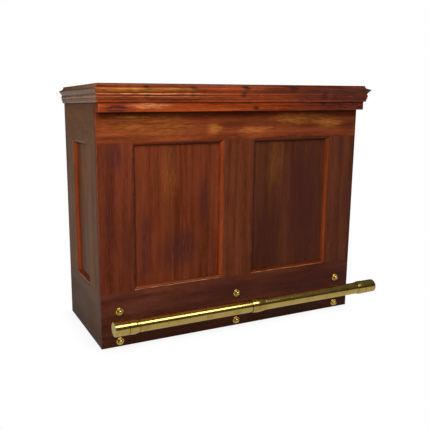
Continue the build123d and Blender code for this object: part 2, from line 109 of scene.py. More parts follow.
class BarColours(bpy.types.PropertyGroup):
    """Stains of the timber, colours that paint highlights and shade on it, and colours of the metals."""

    mahogany: colour_property("Mahogany", "Stain of the front frame", "6E3418")
    # The side stain is greyed: partly the sides' own stain, partly a painted sheen that grazing light lays on
    # them
    side: colour_property("Side", "Stain of the two sides", "6E4A30")
    panel: colour_property("Panel", "Stain of the veneered panels", "6C3418")
    moulding: colour_property("Moulding", "Stain of the mouldings round the panels", "7E3412")
    # This gold is the timber's bright figure; on the crown it also paints a highlight along the nose
    pine: colour_property("Pine", "Stain of the crown and the frieze", "843614")
    gold_and_highlight: colour_property("Gold Figure", "Bright figure where the timber took less stain", "B0702C")
    # This pale colour paints highlights: lines on the level beads and the crown, and a gloss patch on the
    # frieze
    pale: colour_property("Painted_Highlight", "Pale lines where a moulding's high parts are rubbed", "D08858")
    burnt_and_shade: colour_property("Burnt Figure", "Dark figure and knots", "2A130C")
    # This dark colour is figure and knots, and also paints shade in the crown's creases and beside the left
    # upright beads
    plum_and_shade: colour_property("Plum Figure", "Purplish patches where the stain lies thick", "401C1A")
    # This purple is figure where the stain lies thick, and on the right of the crown, frieze and bottom rail
    # it also paints shade where the light falls off
    timber: colour_property("Timber", "Thin stain on the barkeeper's side", "8A5232")
    softwood: colour_property("Softwood", "Unfinished battens and cleats", "C39A68")
    brass: colour_property("Brass", "Lacquered polished brass", "ECCB6E")
    zinc: colour_property("Zinc", "Bright zinc plate", "B4B6B8")


class BarStage(bpy.types.PropertyGroup):
    """Powers of the lights, brightness of the surroundings and colour of the floor."""

    key_power: power_property("Key", "Power of the main soft light", 80)
    top_power: power_property("Top", "Power of the strip over the rail", 44)
    glow_power: power_property("Rail Glow", "Power of the strip that only gloss mirrors", 50)
    side_power: power_property("Right Side", "Power of the light on the right side", 55)
    rear_power: power_property("Rear", "Power of the light on the barkeeper's side", 110)
    sky: FloatProperty(name="Sky", description="Brightness of the surroundings", default=0.06, min=0)
    floor: colour_property("Floor", "Plain pale floor", "FFFFFF")


# ----------------------------------------------------------- node tree helpers


class Graph:
    """Builds a node tree, one short call for each node."""

    def __init__(self, tree):
        self.tree = tree
        tree.nodes.clear()

    def node(self, kind, sockets=None, **settings):
        """Add a node. A socket is named or numbered, and is given a value or another node's output."""
        node = self.tree.nodes.new(kind)
        node.location = (180 * (len(self.tree.nodes) % 12), -260 * (len(self.tree.nodes) // 12))
        for name, value in settings.items():
            setattr(node, name, value)
        for key, value in (sockets or {}).items():
            if isinstance(value, bpy.types.NodeSocket):
                self.tree.links.new(value, node.inputs[key])
            else:
                node.inputs[key].default_value = value
        return node

    def out(self, kind, sockets=None, **settings):
        """Add a node and give its first output."""
        return self.node(kind, sockets, **settings).outputs[0]

    def math(self, operation, a, b=0.0):
        """One sum on two numbers."""
        return self.out("ShaderNodeMath", {0: a, 1: b}, operation=operation)

    def sum(self, a, b):
        """Two numbers added."""
        return self.math("ADD", a, b)

    def minus(self, a, b):
        """The second number taken from the first."""
        return self.math("SUBTRACT", a, b)

    def product(self, a, b):
        """Two numbers multiplied."""
        return self.math("MULTIPLY", a, b)

    def vector(self, operation, a, b):
        """One sum on two vectors."""
        return self.out("ShaderNodeVectorMath", {0: a, 1: b}, operation=operation)

    def noise(self, where, scale, detail, **more):
        """A noise pattern; its other inputs are given by name."""
        return self.out("ShaderNodeTexNoise", {"Vector": where, "Scale": scale, "Detail": detail, **more})

    def bump(self, strength, distance, height):
        """A surface normal that follows a height."""
        return self.out("ShaderNodeBump", {"Strength": strength, "Distance": distance, "Height": height})

    def axis(self, where, name):
        """One coordinate of a place."""
        return self.node("ShaderNodeSeparateXYZ", {0: where}).outputs[name]

    def mapped(self, where, scale, location=(0.0, 0.0, 0.0)):
        """A place moved and stretched."""
        return self.out("ShaderNodeMapping", {"Vector": where, "Location": location, "Scale": scale})

    def scaled(self, value, low, high, to_low=0.0, to_high=1.0):
        """A value's span carried smoothly to another span."""
        spans = {"Value": value, "From Min": low, "From Max": high, "To Min": to_low, "To Max": to_high}
        return self.out("ShaderNodeMapRange", spans, interpolation_type="SMOOTHSTEP")

    def times(self, colour, factor):
        """A colour made lighter or darker."""
        node = self.node("ShaderNodeVectorMath", {0: colour}, operation="SCALE")
        self.tree.links.new(factor, node.inputs["Scale"])
        return node.outputs[0]

    def mix(self, factor, a, b):
        """Colour a turned into colour b."""
        node = self.node("ShaderNodeMix", {0: factor, 6: a, 7: b}, data_type="RGBA")
        return node.outputs[2]


def opaque(colour, by=1.0):
    """A colour property as the four values of a node's socket, made lighter or darker."""
    return [min(1.0, c * by) for c in colour] + [1.0]


def toned(colour, *shares):
    """A colour made lighter or darker by one share, or by one for each of its three channels."""
    return [tone * share for tone, share in zip(colour, shares if len(shares) == 3 else shares * 3)]


def new_material(name):
    """An empty material, and the graph that builds its nodes."""
    material = bpy.data.materials.new(name)
    material.use_nodes = True
    return material, Graph(material.node_tree)


def finish_shader(graph, **sockets):
    """End a material in one Principled shader."""
    shader = graph.out("ShaderNodeBsdfPrincipled", {k.replace("_", " "): v for k, v in sockets.items()})
    graph.node("ShaderNodeOutputMaterial", {"Surface": shader})


# -------------------------------------------------------------------- finishes


def along_grain(grain, along, across):
    """Scale of a pattern that is stretched along one axis."""
    return [along if axis == grain else across for axis in "XYZ"]


SHEEN = tint("F2A45C")  # tints what the lacquered timber mirrors


SPOT_DEPTH = 0.1  # how far a spot on the front reaches into its board


class Spot:
    """A soft-edged patch on a board: its middle, its reach each way, its colour and its strength."""

    def __init__(self, middle, reach, colour, strength=1.0):
        self.middle, self.reach, self.colour, self.strength = middle, reach, colour, strength


def spots_on(y, rows):
    """Spots on a face of the front: each row has x, z, the reach along X and Z, colour and strength."""
    return [Spot((x, y, z), (wide, SPOT_DEPTH, tall), *look) for x, z, wide, tall, *look in rows]


def stained_wood(
    name, grain, colour, seed, streaks=0.5, width=40 * MM, gloss=0.3, coat=0.3, low=None, spots=()
):
    """Stained, lacquered timber: long streaks, uneven stain, contour figure, fibres, pores and worn arrises.

    streaks is how far the stain goes from light to dark, width the usual width of a streak, and low the
    height up to which the board is painted darker towards the floor, as painted shade.
    """
    material, graph = new_material(name)
    where = graph.node("ShaderNodeTexCoord").outputs["Object"]

    def noise(along, across, detail, shift, distortion=0.0):
        """Noise of its own, stretched along the grain."""
        stretched = graph.mapped(where, along_grain(grain, along, across), (seed + shift, seed * 0.7, shift))
        return graph.noise(stretched, 1.0, detail, Distortion=distortion)

    streak = noise(1.4, 1 / width, 4.0, 0.0, 0.4)
    cloud = noise(3.0, 6.0, 3.0, 3.1)
    contour = graph.math("SINE", graph.product(noise(0.9, 5.0, 1.5, 5.3), 70.0))
    fleck = noise(30.0, 210.0, 2.0, 6.1)
    fibre = noise(9.0, 420.0, 3.0, 7.7)
    pores = graph.scaled(noise(26.0, 900.0, 1.0, 9.9), 0.60, 0.70)

    shade = graph.sum(graph.product(streak, 0.62), graph.product(cloud, 0.38))
    shade = graph.sum(shade, graph.product(contour, 0.022))
    shade = graph.sum(shade, graph.product(graph.minus(fleck, 0.5), 0.30))
    ramp = graph.node("ShaderNodeValToRGB", {"Fac": shade})
    stops = ramp.color_ramp.elements
    stops[0].position, stops[0].color = 0.34, opaque([c ** (1 + 0.25 * streaks) for c in colour], 1 - streaks)
    stops[1].position, stops[1].color = 0.66, opaque([c ** (1 - 0.08 * streaks) for c in colour], 1 + streaks)
    middle = stops.new(0.5)
    middle.color = opaque(colour)
    shown = ramp.outputs[0]
    rough_edge = graph.vector("SUBTRACT", noise(7.0, 30.0, 3.0, 1.7), (0.5, 0.5, 0.5))
    uneven_take = graph.scaled(fleck, 0.35, 0.65, 0.45, 1.25)
    # spots lay figure over the stain; some of them paint highlights, a reflection and shade
    for spot in spots:
        share = graph.vector("DIVIDE", graph.vector("SUBTRACT", where, spot.middle), spot.reach)
        share = graph.vector("ADD", share, rough_edge)
        distance = graph.node("ShaderNodeVectorMath", {0: share}, operation="LENGTH").outputs["Value"]
        reach = graph.product(graph.scaled(distance, 1.0, 0.25, 0.0, spot.strength), uneven_take)
        shown = graph.mix(reach, shown, opaque(spot.colour))
    shown = graph.times(shown, graph.scaled(fibre, 0.3, 0.7, 0.84, 1.14))
    shown = graph.times(shown, graph.minus(1.0, graph.product(pores, 0.35)))
    # painted shade: the board darkens towards the floor, up to the height low
    if low:
        height = graph.axis(where, "Z")
        uneven = graph.sum(height, graph.product(cloud, 0.08))
        shown = graph.times(shown, graph.scaled(uneven, 0.04, low, 0.45, 1.0))
    worn = graph.node("ShaderNodeAttribute", {}, attribute_name="arris").outputs["Fac"]
    worn = graph.product(worn, graph.scaled(noise(30.0, 60.0, 2.0, 12.1), 0.35, 0.65, 0.1, 0.75))
    shown = graph.mix(worn, shown, opaque(colour, 1.9))

    height = graph.minus(fibre, graph.product(pores, 0.8))
    bump = graph.bump(0.35, 0.06 * MM, height)
    ripple = noise(5.0, 24.0, 1.0, 14.0)
    lacquer = graph.bump(0.5, 0.08 * MM, ripple)
    roughness = graph.scaled(cloud, 0.3, 0.7, gloss, gloss + 0.14)
    finish_shader(
        graph, Base_Color=shown, Roughness=roughness, Normal=bump, Specular_IOR_Level=0.28,
        Specular_Tint=opaque(SHEEN), Coat_Weight=coat, Coat_Roughness=0.10, Coat_Normal=lacquer,
    )
    return material


def planed_softwood(name, grain, colour, seed):
    """Unfinished planed softwood: pale early wood between narrow dark growth lines."""
    material, graph = new_material(name)
    where = graph.node("ShaderNodeTexCoord").outputs["Object"]
    moved = (seed, seed * 0.6, 0.0)
    rings = graph.noise(graph.mapped(where, along_grain(grain, 0.7, 9.0), moved), 1.0, 1.5)
    line = graph.math("FRACT", graph.product(rings, 26.0))
    line = graph.scaled(line, 0.55, 0.95, 0.0, 0.5)
    fibre = graph.noise(graph.mapped(where, along_grain(grain, 12.0, 500.0), moved), 1.0, 3.0)
    shown = graph.mix(line, opaque(colour), opaque(toned(colour, 0.72, 0.5, 0.34)))
    shown = graph.times(shown, graph.scaled(fibre, 0.3, 0.7, 0.86, 1.08))
    bump = graph.bump(0.4, 0.1 * MM, fibre)
    finish_shader(graph, Base_Color=shown, Roughness=0.62, Normal=bump, Specular_IOR_Level=0.3)
    return material


SEAM_REACH = 2.6 * MM  # how far the dark line in a joint of the brass fades out


def polished_metal(name, colour, dull, rough, wave, seams=()):
    """Polished metal: hand-rubbed waves, fine scratches, fingermarks and patches that have dulled.

    dull is the colour of the dulled patches, rough the roughness, and wave the height of the rubbed waves.
    seams are places along X, on both sides of the middle, where polish has darkened in a joint.
    """
    material, graph = new_material(name)
    where = graph.node("ShaderNodeTexCoord").outputs["Object"]
    patches = graph.noise(where, 22.0, 5.0, Roughness=0.6)
    smear = graph.noise(where, 60.0, 3.0, Distortion=0.8)
    scratch = graph.noise(graph.mapped(where, (60.0, 1500.0, 1500.0)), 1.0, 2.0)
    waves = graph.noise(where, 34.0, 1.0)
    shown = graph.mix(graph.scaled(patches, 0.46, 0.72, 0.0, 0.6), opaque(colour), opaque(dull))
    for seam in seams:
        from_middle = graph.math("ABSOLUTE", graph.axis(where, "X"))
        gap = graph.math("ABSOLUTE", graph.minus(from_middle, seam))
        shown = graph.mix(graph.scaled(gap, SEAM_REACH, 0.0, 0.0, 0.9), shown, opaque(dull, 0.3))
    roughness = graph.scaled(smear, 0.3, 0.75, rough, rough + 0.015)
    height = graph.sum(graph.product(waves, wave), graph.product(scratch, 0.0002))
    bump = graph.bump(1.0, MM, height)
    finish_shader(graph, Base_Color=shown, Metallic=1.0, Roughness=roughness, Normal=bump)
    return material


# --------------------------------------------------------- geometry node trees


def geometry_tree(name, inputs):
    """A geometry tree with named inputs: its graph, and the outputs of its group input node."""
    tree = bpy.data.node_groups.new(name, "GeometryNodeTree")
    tree.interface.new_socket("Geometry", in_out="INPUT", socket_type="NodeSocketGeometry")
    for label, kind in inputs.items():
        tree.interface.new_socket(label, in_out="INPUT", socket_type="NodeSocket" + kind)
    tree.interface.new_socket("Geometry", in_out="OUTPUT", socket_type="NodeSocketGeometry")
    graph = Graph(tree)
    return graph, graph.node("NodeGroupInput").outputs


def end_tree(graph, given, geometry):
    """End a geometry tree in real meshes with their finish."""
    real = graph.out("GeometryNodeRealizeInstances", {0: geometry})
    finished = graph.out("GeometryNodeSetMaterial", {"Geometry": real, "Material": given["Finish"]})
    graph.node("NodeGroupOutput", {0: finished})
    return graph.tree


def moulding_tree():
    """Runs a section, drawn as one face, along its own Z, and cuts both ends to a mitre."""
    inputs = {"Length": "Float", "Start Mitre": "Float", "End Mitre": "Float", "Finish": "Material"}
    graph, given = geometry_tree("Moulding Run", inputs)
    section = given["Geometry"]
    way = graph.out("ShaderNodeCombineXYZ", {"Z": given["Length"]})
    run = graph.out("GeometryNodeExtrudeMesh", {"Mesh": section, "Offset": way, "Offset Scale": 1.0,
                                                "Individual": False})
    back = graph.out("GeometryNodeFlipFaces", {0: section})
    ends = graph.node("GeometryNodeJoinGeometry")
    for part in (run, back):
        graph.tree.links.new(part, ends.inputs[0])
    solid = graph.out("GeometryNodeMergeByDistance", {"Geometry": ends.outputs[0], "Distance": 0.001 * MM})
    place = graph.node("ShaderNodeSeparateXYZ", {0: graph.out("GeometryNodeInputPosition")}).outputs
    share = graph.math("DIVIDE", place["Z"], given["Length"])
    start = graph.product(place["X"], given["Start Mitre"])
    end = graph.product(place["X"], graph.product(given["End Mitre"], -1.0))
    at_start = graph.product(start, graph.minus(1.0, share))
    shift = graph.sum(at_start, graph.product(end, share))
    moved = graph.out("GeometryNodeSetPosition", {
        "Geometry": solid, "Offset": graph.out("ShaderNodeCombineXYZ", {"Z": shift})})
    return end_tree(graph, given, moved)


def fixing_tree():
    """Sets a copy of one fixing on each of the given points, each turned about its own axis by chance."""
    inputs = {"Fixing": "Object", "Most Turn": "Float", "Seed": "Int", "Finish": "Material"}
    graph, given = geometry_tree("Fixings In Place", inputs)
    shape = graph.node("GeometryNodeObjectInfo", {"Object": given["Fixing"]}).outputs["Geometry"]
    chance = graph.node("FunctionNodeRandomValue", {"Seed": given["Seed"]}, data_type="FLOAT")
    graph.tree.links.new(given["Most Turn"], chance.inputs[3])
    turn = graph.out("ShaderNodeCombineXYZ", {"Z": chance.outputs[1]})
    copies = graph.out("GeometryNodeInstanceOnPoints", {
        "Points": given["Geometry"], "Instance": shape, "Rotation": turn})
    return end_tree(graph, given, copies)


def rail_tree():
    """A tube of revolution: the wall's section swept round a circle and laid along X."""
    inputs = {"Length": "Float", "Radius": "Float", "Wall": "Float", "Steps": "Int", "Middle": "Vector",
              "Finish": "Material"}
    graph, given = geometry_tree("Rail Tube", inputs)
    middle_r = graph.minus(given["Radius"], graph.product(given["Wall"], 0.5))
    circle = graph.out("GeometryNodeCurvePrimitiveCircle", {"Resolution": given["Steps"], "Radius": middle_r})
    section = graph.out("GeometryNodeCurvePrimitiveQuadrilateral", {0: given["Wall"], 1: given["Length"]})
    swept = graph.out("GeometryNodeCurveToMesh", {"Curve": circle, "Profile Curve": section})
    tube = graph.out("GeometryNodeTransform", {
        "Geometry": swept, "Translation": given["Middle"], "Rotation": (0.0, pi / 2, 0.0)})
    return end_tree(graph, given, tube)


# ------------------------------------------------------------------ mesh making


def stand_in(mesh, name="draft"):
    """An object that a mesh is worked on in."""
    draft = bpy.data.objects.new(name, mesh)
    bpy.context.scene.collection.objects.link(draft)
    return draft


def plain_mesh(draft):
    """The draft's mesh with its modifiers carried out; the draft itself is removed."""
    graph = bpy.context.evaluated_depsgraph_get()
    mesh = bpy.data.meshes.new_from_object(draft.evaluated_get(graph), depsgraph=graph)
    bpy.data.objects.remove(draft)
    return mesh


def through_tree(mesh, tree, **values):
    """A mesh put through a geometry tree, whose inputs are given by name."""
    draft = stand_in(mesh)
    modifier = draft.modifiers.new(tree.name, "NODES")
    modifier.node_group = tree
    sockets = {item.name.replace(" ", "_"): item.identifier
               for item in tree.interface.items_tree if item.in_out == "INPUT"}
    for name, value in values.items():
        modifier[sockets[name]] = value
    return plain_mesh(draft)


def face_outwards(mesh):
    """Join a mesh's doubled points, and turn its faces outwards."""
    shell = bmesh.new()
    shell.from_mesh(mesh)
    bmesh.ops.remove_doubles(shell, verts=shell.verts, dist=0.001 * MM)
    bmesh.ops.recalc_face_normals(shell, faces=shell.faces)
    shell.to_mesh(mesh)
    shell.free()
    return mesh


def smooth_by_angle(mesh, angle=radians(32)):
    """Shade a mesh smooth, but keep edges sharper than the angle."""
    mesh.polygons.foreach_set("use_smooth", [True] * len(mesh.polygons))
    mesh.set_sharp_from_angle(angle=angle)
    return mesh


def joined(meshes):
    """Several meshes as one."""
    whole = bmesh.new()
    for mesh in meshes:
        whole.from_mesh(mesh)
    mesh = bpy.data.meshes.new("joined")
    whole.to_mesh(mesh)
    whole.free()
    return mesh


def piece(name, mesh, finish, slot, *nodes):
    """A finished piece that stands for its CAD nodes and rides on the bar."""
    made = stand_in(mesh, name)
    mesh.name = name
    mesh.materials.clear()
    mesh.materials.append(finish)
    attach(made, "root")
    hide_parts(*nodes)
    return made


def welded(node):
    """A copy of a CAD node's mesh with its triangles joined into whole flat-shaded faces."""
    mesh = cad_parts[node].data.copy()
    mesh.materials.clear()
    if "custom_normal" in mesh.attributes:
        mesh.attributes.remove(mesh.attributes["custom_normal"])
    mesh.shade_flat()
    shell = bmesh.new()
    shell.from_mesh(mesh)
    bmesh.ops.remove_doubles(shell, verts=shell.verts, dist=0.001 * MM)
    bmesh.ops.dissolve_limit(shell, angle_limit=radians(0.5), verts=shell.verts, edges=shell.edges)
    shell.to_mesh(mesh)
    shell.free()
    return mesh


def eased(mesh, width, shortest=7 * MM):
    """Round a mesh's long square edges, and mark their corners as arris."""
    shell = bmesh.new()
    shell.from_mesh(mesh)
    weight = shell.edges.layers.float.new("bevel_weight_edge")
    for edge in shell.edges:
        square = edge.is_manifold and edge.calc_face_angle() > radians(40)
        edge[weight] = float(square and edge.calc_length() > shortest)
    shell.to_mesh(mesh)
    shell.free()
    draft = stand_in(mesh)
    bevel = draft.modifiers.new("Eased", "BEVEL")
    bevel.limit_method, bevel.width, bevel.segments = "WEIGHT", width, 3
    mesh = plain_mesh(draft)
    arris = mesh.attributes.new("arris", "FLOAT", "CORNER")
    for face in mesh.polygons:
        face.use_smooth = max(map(abs, face.normal)) < 0.999
        for corner in face.loop_indices:
            arris.data[corner].value = float(face.use_smooth)
    return mesh


def board(node, finish, slot, ending="planed"):
    """A board of the joinery, or a plate, with eased arrises."""
    mesh = eased(welded(node), bpy.context.scene.bar_sizes.arris)
    return piece(f"{node}_{ending}", mesh, finish, slot, node)


def arc(centre, radius, start, end, steps):
    """Points of an arc from one angle to another, in degrees. The radius may be a pair, for an ellipse."""
    across, up = radius if isinstance(radius, tuple) else (radius, radius)
    angles = [radians(start + (end - start) * i / steps) for i in range(steps + 1)]
    return [(centre[0] + across * cos(a), centre[1] + up * sin(a)) for a in angles]


def turned(outline, steps):
    """A piece turned about Z from a closed outline of (radius, height) points in millimetres."""
    mesh = bpy.data.meshes.new("turned")
    edges = [(i, (i + 1) % len(outline)) for i in range(len(outline))]
    mesh.from_pydata([(r * MM, 0.0, h * MM) for r, h in outline], edges, [])
    draft = stand_in(mesh)
    lathe = draft.modifiers.new("Lathe", "SCREW")
    lathe.axis, lathe.angle, lathe.steps, lathe.render_steps = "Z", 2 * pi, steps, steps
    lathe.use_merge_vertices, lathe.merge_threshold = True, 0.001 * MM
    return smooth_by_angle(face_outwards(plain_mesh(draft)))


def laid(mesh, axis, origin=Vector()):
    """A mesh drawn about Z, turned so that Z runs along an axis, and set at its place."""
    mesh.transform(Matrix.Translation(origin) @ Z.rotation_difference(axis).to_matrix().to_4x4())
    return mesh


def in_place(shape, places, finish, turn=0.0):
    """Copies of a shape that stands at the origin, one at each place, each turned about Z by up to turn."""
    tree = bpy.data.node_groups.get("Fixings In Place") or fixing_tree()
    points = bpy.data.meshes.new("places")
    points.from_pydata([Vector(p) for p in places], [], [])
    fixing = stand_in(shape, "fixing")
    seed = bpy.context.scene.bar_sizes.seed
    mesh = through_tree(points, tree, Fixing=fixing, Most_Turn=turn, Seed=seed, Finish=finish)
    bpy.data.objects.remove(fixing)
    return mesh


def solids_of(node):
    """Middle of the box of each solid of a CAD node, and the size of the first, as they are all alike."""
    shell = bmesh.new()
    shell.from_mesh(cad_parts[node].data)
    bmesh.ops.remove_doubles(shell, verts=shell.verts, dist=0.001 * MM)
    left, found = set(shell.verts), []
    while left:
        group, edge_of_group = set(), [left.pop()]
        while edge_of_group:
            vert = edge_of_group.pop()
            group.add(vert)
            near = {e.other_vert(vert) for e in vert.link_edges} & left
            left -= near
            edge_of_group.extend(near)
        low = Vector([min(v.co[i] for v in group) for i in range(3)])
        high = Vector([max(v.co[i] for v in group) for i in range(3)])
        found.append(((low + high) / 2, high - low))
    shell.free()
    found.sort(key=lambda solid: tuple(round(c, 5) for c in solid[0]))
    return [middle for middle, size in found], found[0][1]


# ------------------------------------------------------------ joinery operators


class BAR_OT_front_frame(bpy.types.Operator):
    """Front frame: two rails, three stiles and the frieze over them"""

    bl_idname = "bar.front_frame"
    bl_label = "Front Frame"

    def execute(self, context):
        colours = context.scene.bar_colours
        red, gold_and_highlight, burnt_and_shade, plum_and_shade = colours.mahogany, colours.gold_and_highlight, colours.burnt_and_shade, colours.plum_and_shade
        top_spots = spots_on(FRONT_Y, [
            (0.30, 0.925, 0.16, 0.035, gold_and_highlight, 0.50),
            (0.47, 0.905, 0.12, 0.030, gold_and_highlight, 0.50),
            (0.08, 0.880, 0.10, 0.018, gold_and_highlight, 0.40),
            (-0.12, 0.890, 0.05, 0.030, gold_and_highlight, 0.45),
            (-0.03, 0.905, 0.08, 0.030, burnt_and_shade, 0.35),
            (0.58, 0.880, 0.07, 0.040, burnt_and_shade, 0.40),
            (-0.48, 0.940, 0.10, 0.006, gold_and_highlight, 0.50),
            (-0.42, 0.900, 0.26, 0.070, gold_and_highlight, 0.16),
        ])
        left_spots = spots_on(FRONT_Y, [
            (-0.56, 0.790, 0.050, 0.10, plum_and_shade, 0.75),
            (-0.59, 0.550, 0.030, 0.20, plum_and_shade, 0.50),
            (-0.52, 0.420, 0.030, 0.15, plum_and_shade, 0.45),
        ])
        right_spots = spots_on(FRONT_Y, [
            (0.55, 0.780, 0.030, 0.10, plum_and_shade, 0.60),
            (0.61, 0.500, 0.040, 0.25, plum_and_shade, 0.60),
        ])
        # purple patches along the bottom rail: partly figure, partly painted shade, darkest at the right
        # where the light falls off
        figure_and_shade_low = spots_on(FRONT_Y, [
            (-0.50, 0.205, 0.14, 0.030, plum_and_shade, 0.55),
            (-0.05, 0.180, 0.24, 0.060, plum_and_shade, 0.75),
            (0.40, 0.160, 0.42, 0.100, plum_and_shade, 0.90),
        ])
        woods = {
            "front_top_rail": ("X", (0.94, 0.84, 0.95), 4.0, 0.45, 26 * MM, None, top_spots),
            # the bottom rail is painted darker towards the floor, up to 0.26 m, as shade
            "front_bottom_rail": ("X", (0.52, 0.60, 1.15), 9.0, 0.35, 34 * MM, 0.26, figure_and_shade_low),
            "front_left_stile": ("Z", (0.62, 0.55, 0.85), 1.0, 0.35, 40 * MM, None, left_spots),
            "front_centre_stile": ("Z", (0.70, 0.74, 1.0), 2.0, 0.30, 22 * MM, None, []),
            "front_right_stile": ("Z", (0.57, 0.64, 0.98), 3.0, 0.35, 36 * MM, None, right_spots),
        }
        for node, (grain, shares, seed, streaks, width, low, spots) in woods.items():
            name = node.removeprefix("front_") + "_mahogany"
            stain = toned(red, *shares)
            finish = stained_wood(name, grain, stain, seed, streaks, width, 0.42, 0.05, low, spots)
            board(node, finish, "front_mahogany")
        knots_and_painted_shading = spots_on(FRIEZE_Y, [
            (0.402, 0.985, 0.022, 0.014, burnt_and_shade, 0.90),
            (0.055, 0.972, 0.026, 0.012, burnt_and_shade, 0.90),
            (-0.560, 0.975, 0.090, 0.026, plum_and_shade, 0.80),
            # partly painted shade: the frieze's right half darker, where the light falls off
            (0.560, 0.980, 0.400, 0.060, plum_and_shade, 0.80),
            # painted reflection: a pale gloss patch towards the frieze's left end
            (-0.430, 0.985, 0.110, 0.018, colours.pale, 0.45),
        ])
        stain = toned(colours.pine, 1.02)
        pine = stained_wood("frieze_pine", "X", stain, 21.0, 0.5, 16 * MM, 0.14, 0.3, spots=knots_and_painted_shading)
        board("frieze_board", pine, "crown_pine")
        return {"FINISHED"}


class BAR_OT_sides(bpy.types.Operator):
    """Left and right side frames, each of two rails and two stiles"""

    bl_idname = "bar.sides"
    bl_label = "Sides"

    def execute(self, context):
        colour = context.scene.bar_colours.side
        woods = {
            "top_rail": ("Y", 1.0, 5.0, None),
            # the bottom rails are painted darker towards the floor, up to 0.2 m, as shade
            "bottom_rail": ("Y", 0.75, 8.0, 0.2),
            "front_stile": ("Z", 1.0, 6.0, None),
            "rear_stile": ("Z", 0.95, 7.0, None),
        }
        for side, shift in (("left", 30.0), ("right", 40.0)):
            for member, (grain, by, seed, low) in woods.items():
                node = f"{side}_{member}"
                stain = toned(colour, by)
                finish = stained_wood(
                    f"{node}_stain", grain, stain, shift + seed, 0.22, 60 * MM, 0.45, 0.03, low
                )
                board(node, finish, "side_mahogany")
        return {"FINISHED"}


class BAR_OT_panels(bpy.types.Operator):
    """Veneered panels of the front and of the two sides"""

    bl_idname = "bar.panels"
    bl_label = "Panels"

    def execute(self, context):
        colours = context.scene.bar_colours
        panel, gold_and_highlight, plum_and_shade = colours.panel, colours.gold_and_highlight, colours.plum_and_shade
        left_spots = spots_on(FRONT_Y, [
            (-0.32, 0.70, 0.060, 0.16, gold_and_highlight, 0.12),
            (-0.27, 0.38, 0.130, 0.13, plum_and_shade, 0.85),
            (-0.43, 0.42, 0.040, 0.28, plum_and_shade, 0.70),
            (-0.16, 0.60, 0.045, 0.18, plum_and_shade, 0.65),
            (-0.30, 0.77, 0.025, 0.10, plum_and_shade, 0.50),
        ])
        right_spots = spots_on(FRONT_Y, [
            (0.20, 0.72, 0.060, 0.16, gold_and_highlight, 0.10),
            (0.36, 0.52, 0.140, 0.42, plum_and_shade, 0.85),
            (0.17, 0.40, 0.090, 0.22, plum_and_shade, 0.70),
        ])
        veneers = {
            "front_left_panel": ((0.76, 0.65, 0.84), 11.0, 0.30, 26 * MM, left_spots),
            # the right panel is darker than the left: partly its veneer, partly painted shade where the light
            # falls off
            "front_right_panel": ((0.45, 0.50, 0.78), 13.0, 0.28, 34 * MM, right_spots),
            # the side panels are greyed: partly their stain, partly painted sheen
            "left_panel": ((0.92, 1.40, 1.75), 15.0, 0.35, 24 * MM, []),
            "right_panel": ((0.92, 1.40, 1.75), 17.0, 0.35, 24 * MM, []),
        }
        for node, (shares, seed, streaks, width, spots) in veneers.items():
            stain = toned(panel, *shares)
            finish = stained_wood(f"{node}_veneer", "Z", stain, seed, streaks, width, 0.40, 0.05, spots=spots)
            board(node, finish, "panel_veneer")
        return {"FINISHED"}


BEAD_W, BEAD_H, BEAD_QUIRK = 13.0, 16.0, 2.0
SOFT_CORNER = 0.3  # by which a moulding's sharp corners are taken down


def bead_section():
    """Section of the moulding round a panel: a quirk, then a quarter round down to the panel."""
    round_part = arc((BEAD_QUIRK, BEAD_QUIRK), (BEAD_W - BEAD_QUIRK, BEAD_H - BEAD_QUIRK), 90, 0, 14)
    low = BEAD_H - SOFT_CORNER
    quirk = [(0, low), (SOFT_CORNER, BEAD_H), (BEAD_QUIRK - 0.4, BEAD_H), (BEAD_QUIRK - 0.1, low)]
    return [(0, 0), *quirk, *round_part, (BEAD_W, 0)]


def crown_section(height):
    """Section of the crown: a bead, an ovolo, a swelling throat, a rounded nose and a cove to the top."""
    bead = arc((8.6, 14.0), (2.7, 3.0), -90, 90, 8)
    ovolo = arc((8.8, 27.5), (4.2, 10.5), -90, 0, 8)
    throat = [(10.3, 29.6), (10.4, 32.6), (11.1, 35.8), (12.6, 39.0), (15.2, 42.4), (18.2, 45.2)]
    nose = arc((16.0, 50.5), (5.0, 5.3), -62, 78, 10)
    cove = arc((17.0, height), (15.4, height - 56.0), 262, 184, 10)
    foot, top = [(0, 0), (6.6, 0), (7.2, 0.5), (8.0, 3.0)], [(1.5, height), (0, height)]
    return foot + bead + ovolo + throat + nose + cove + top


def run_moulding(section, start, axes, length, mitres):
    """A moulding: its section is drawn in millimetres along the first two axes, and it runs along the third.

    A mitre is how far an end is cut back for each millimetre along the first axis.
    """
    tree = bpy.data.node_groups.get("Moulding Run") or moulding_tree()
    drawn = bpy.data.meshes.new("section")
    drawn.from_pydata([(x * MM, y * MM, 0.0) for x, y in section], [], [range(len(section))])
    strip = through_tree(drawn, tree, Length=length, Start_Mitre=mitres[0], End_Mitre=mitres[1])
    strip.transform(Matrix.Translation(start) @ Matrix(axes).transposed().to_4x4())
    return smooth_by_angle(face_outwards(strip), radians(38))


